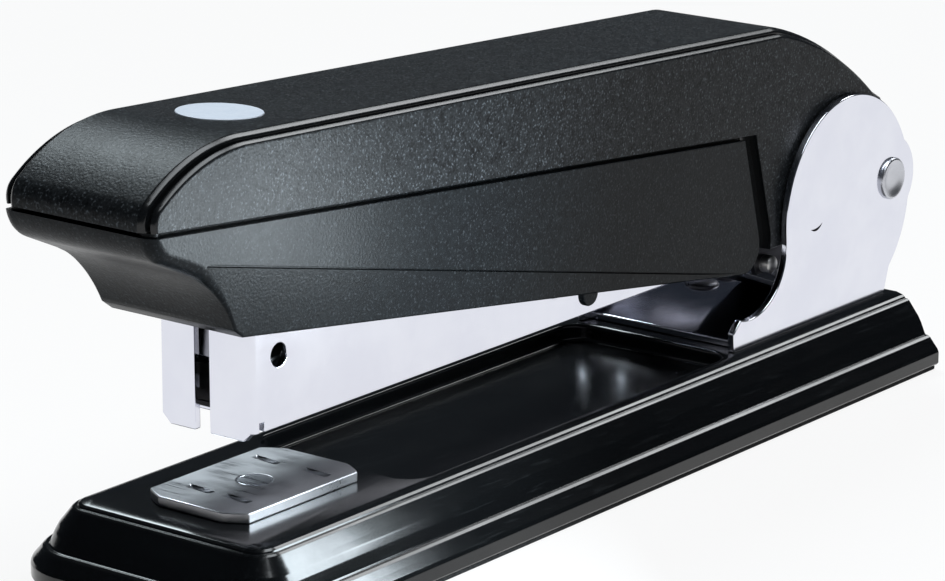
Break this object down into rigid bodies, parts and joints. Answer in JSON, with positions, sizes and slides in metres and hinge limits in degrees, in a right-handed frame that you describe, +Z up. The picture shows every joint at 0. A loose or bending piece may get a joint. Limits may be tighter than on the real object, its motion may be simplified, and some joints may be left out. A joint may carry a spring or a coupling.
{
  "type": "booklet stapler",
  "caption": "Desk stapler with a long throat: hinged handle in two plastic covers, steel magazine with sprung pusher, driver blade and turning anvil on a pressed base.",
  "frame": {"origin": "middle of the footprint's box, on the surface that the sole rests on", "axes": "+Z up, +Y from the nose back to the hinge, +X across the handle, which is symmetric about X = 0"},
  "size_m": [0.0486, 0.181, 0.067],
  "materials": {
    "black_lacquer": "glossy black lacquer on pressed steel",
    "sole_rubber": "matt black rubber",
    "nickel": "bright nickel plate",
    "rivet_steel": "plain steel",
    "pin_steel": "turned steel",
    "blued_steel": "blued spring steel",
    "anvil_steel": "ground steel",
    "spring_steel": "drawn spring wire",
    "rail_steel": "blackened sheet steel",
    "washer_nylon": "natural nylon",
    "pusher_plastic": "moulded plastic",
    "grained_black": "fine-grained black plastic",
    "satin_black": "satin black plastic",
    "badge_grey": "pale grey inset disc",
    "lever_steel": "blackened sheet steel",
    "blade_steel": "hardened steel",
    "screw_steel": "zinc-plated screws"
  },
  "bodies": {
    "base": {"base_plate": "black_lacquer", "sole_pad": "sole_rubber", "hinge_bracket": "nickel", "bracket_rivets": "rivet_steel", "hinge_pin": "pin_steel", "lift_spring": "blued_steel", "lift_spring_rivet": "rivet_steel", "anvil_spring": "spring_steel"},
    "anvil": {"anvil_plate": "anvil_steel", "anvil_stem": "pin_steel"},
    "magazine": {"magazine_channel": "nickel", "core_rail": "rail_steel", "rail_rivets": "rivet_steel", "guide_rod": "pin_steel", "rod_block": "rail_steel", "hinge_washers": "washer_nylon", "handle_spring": "spring_steel", "pusher_spring": "spring_steel"},
    "pusher": {"pusher": "pusher_plastic"},
    "handle": {"top_cover": "grained_black", "lower_cover": "satin_black", "badge_disc": "badge_grey", "lever_frame": "lever_steel", "lever_studs": "nickel", "driver_blade": "blade_steel", "driver_rivets": "rivet_steel", "lever_screws": "screw_steel"}
  },
  "joints": [
    {"name": "magazine_hinge", "type": "hinge", "parent": "base", "child": "magazine", "pos_m": [0, 0.08363, 0.03075], "axis": [1, 0, 0], "range_deg": [0, 3.4], "stiffness_Nm_per_rad": 2, "springref_deg": -11.46, "deforming": ["lift_spring"]},
    {"name": "handle_hinge", "type": "hinge", "parent": "magazine", "child": "handle", "pos_m": [0, 0.08363, 0.03075], "axis": [1, 0, 0], "range_deg": [-85, 3.5], "stiffness_Nm_per_rad": 1.5, "springref_deg": -3.36, "deforming": ["handle_spring"]},
    {"name": "pusher_slide", "type": "slide", "parent": "magazine", "child": "pusher", "axis": [0, 1, 0], "range_m": [0, 0.066], "stiffness_N_per_m": 60, "springref_m": -0.03, "deforming": ["pusher_spring"]},
    {"name": "anvil_turn", "type": "hinge", "parent": "base", "child": "anvil", "pos_m": [0, -0.05592, 0.0117], "axis": [0, 0, 1], "range_deg": [0, 180]}
  ]
}
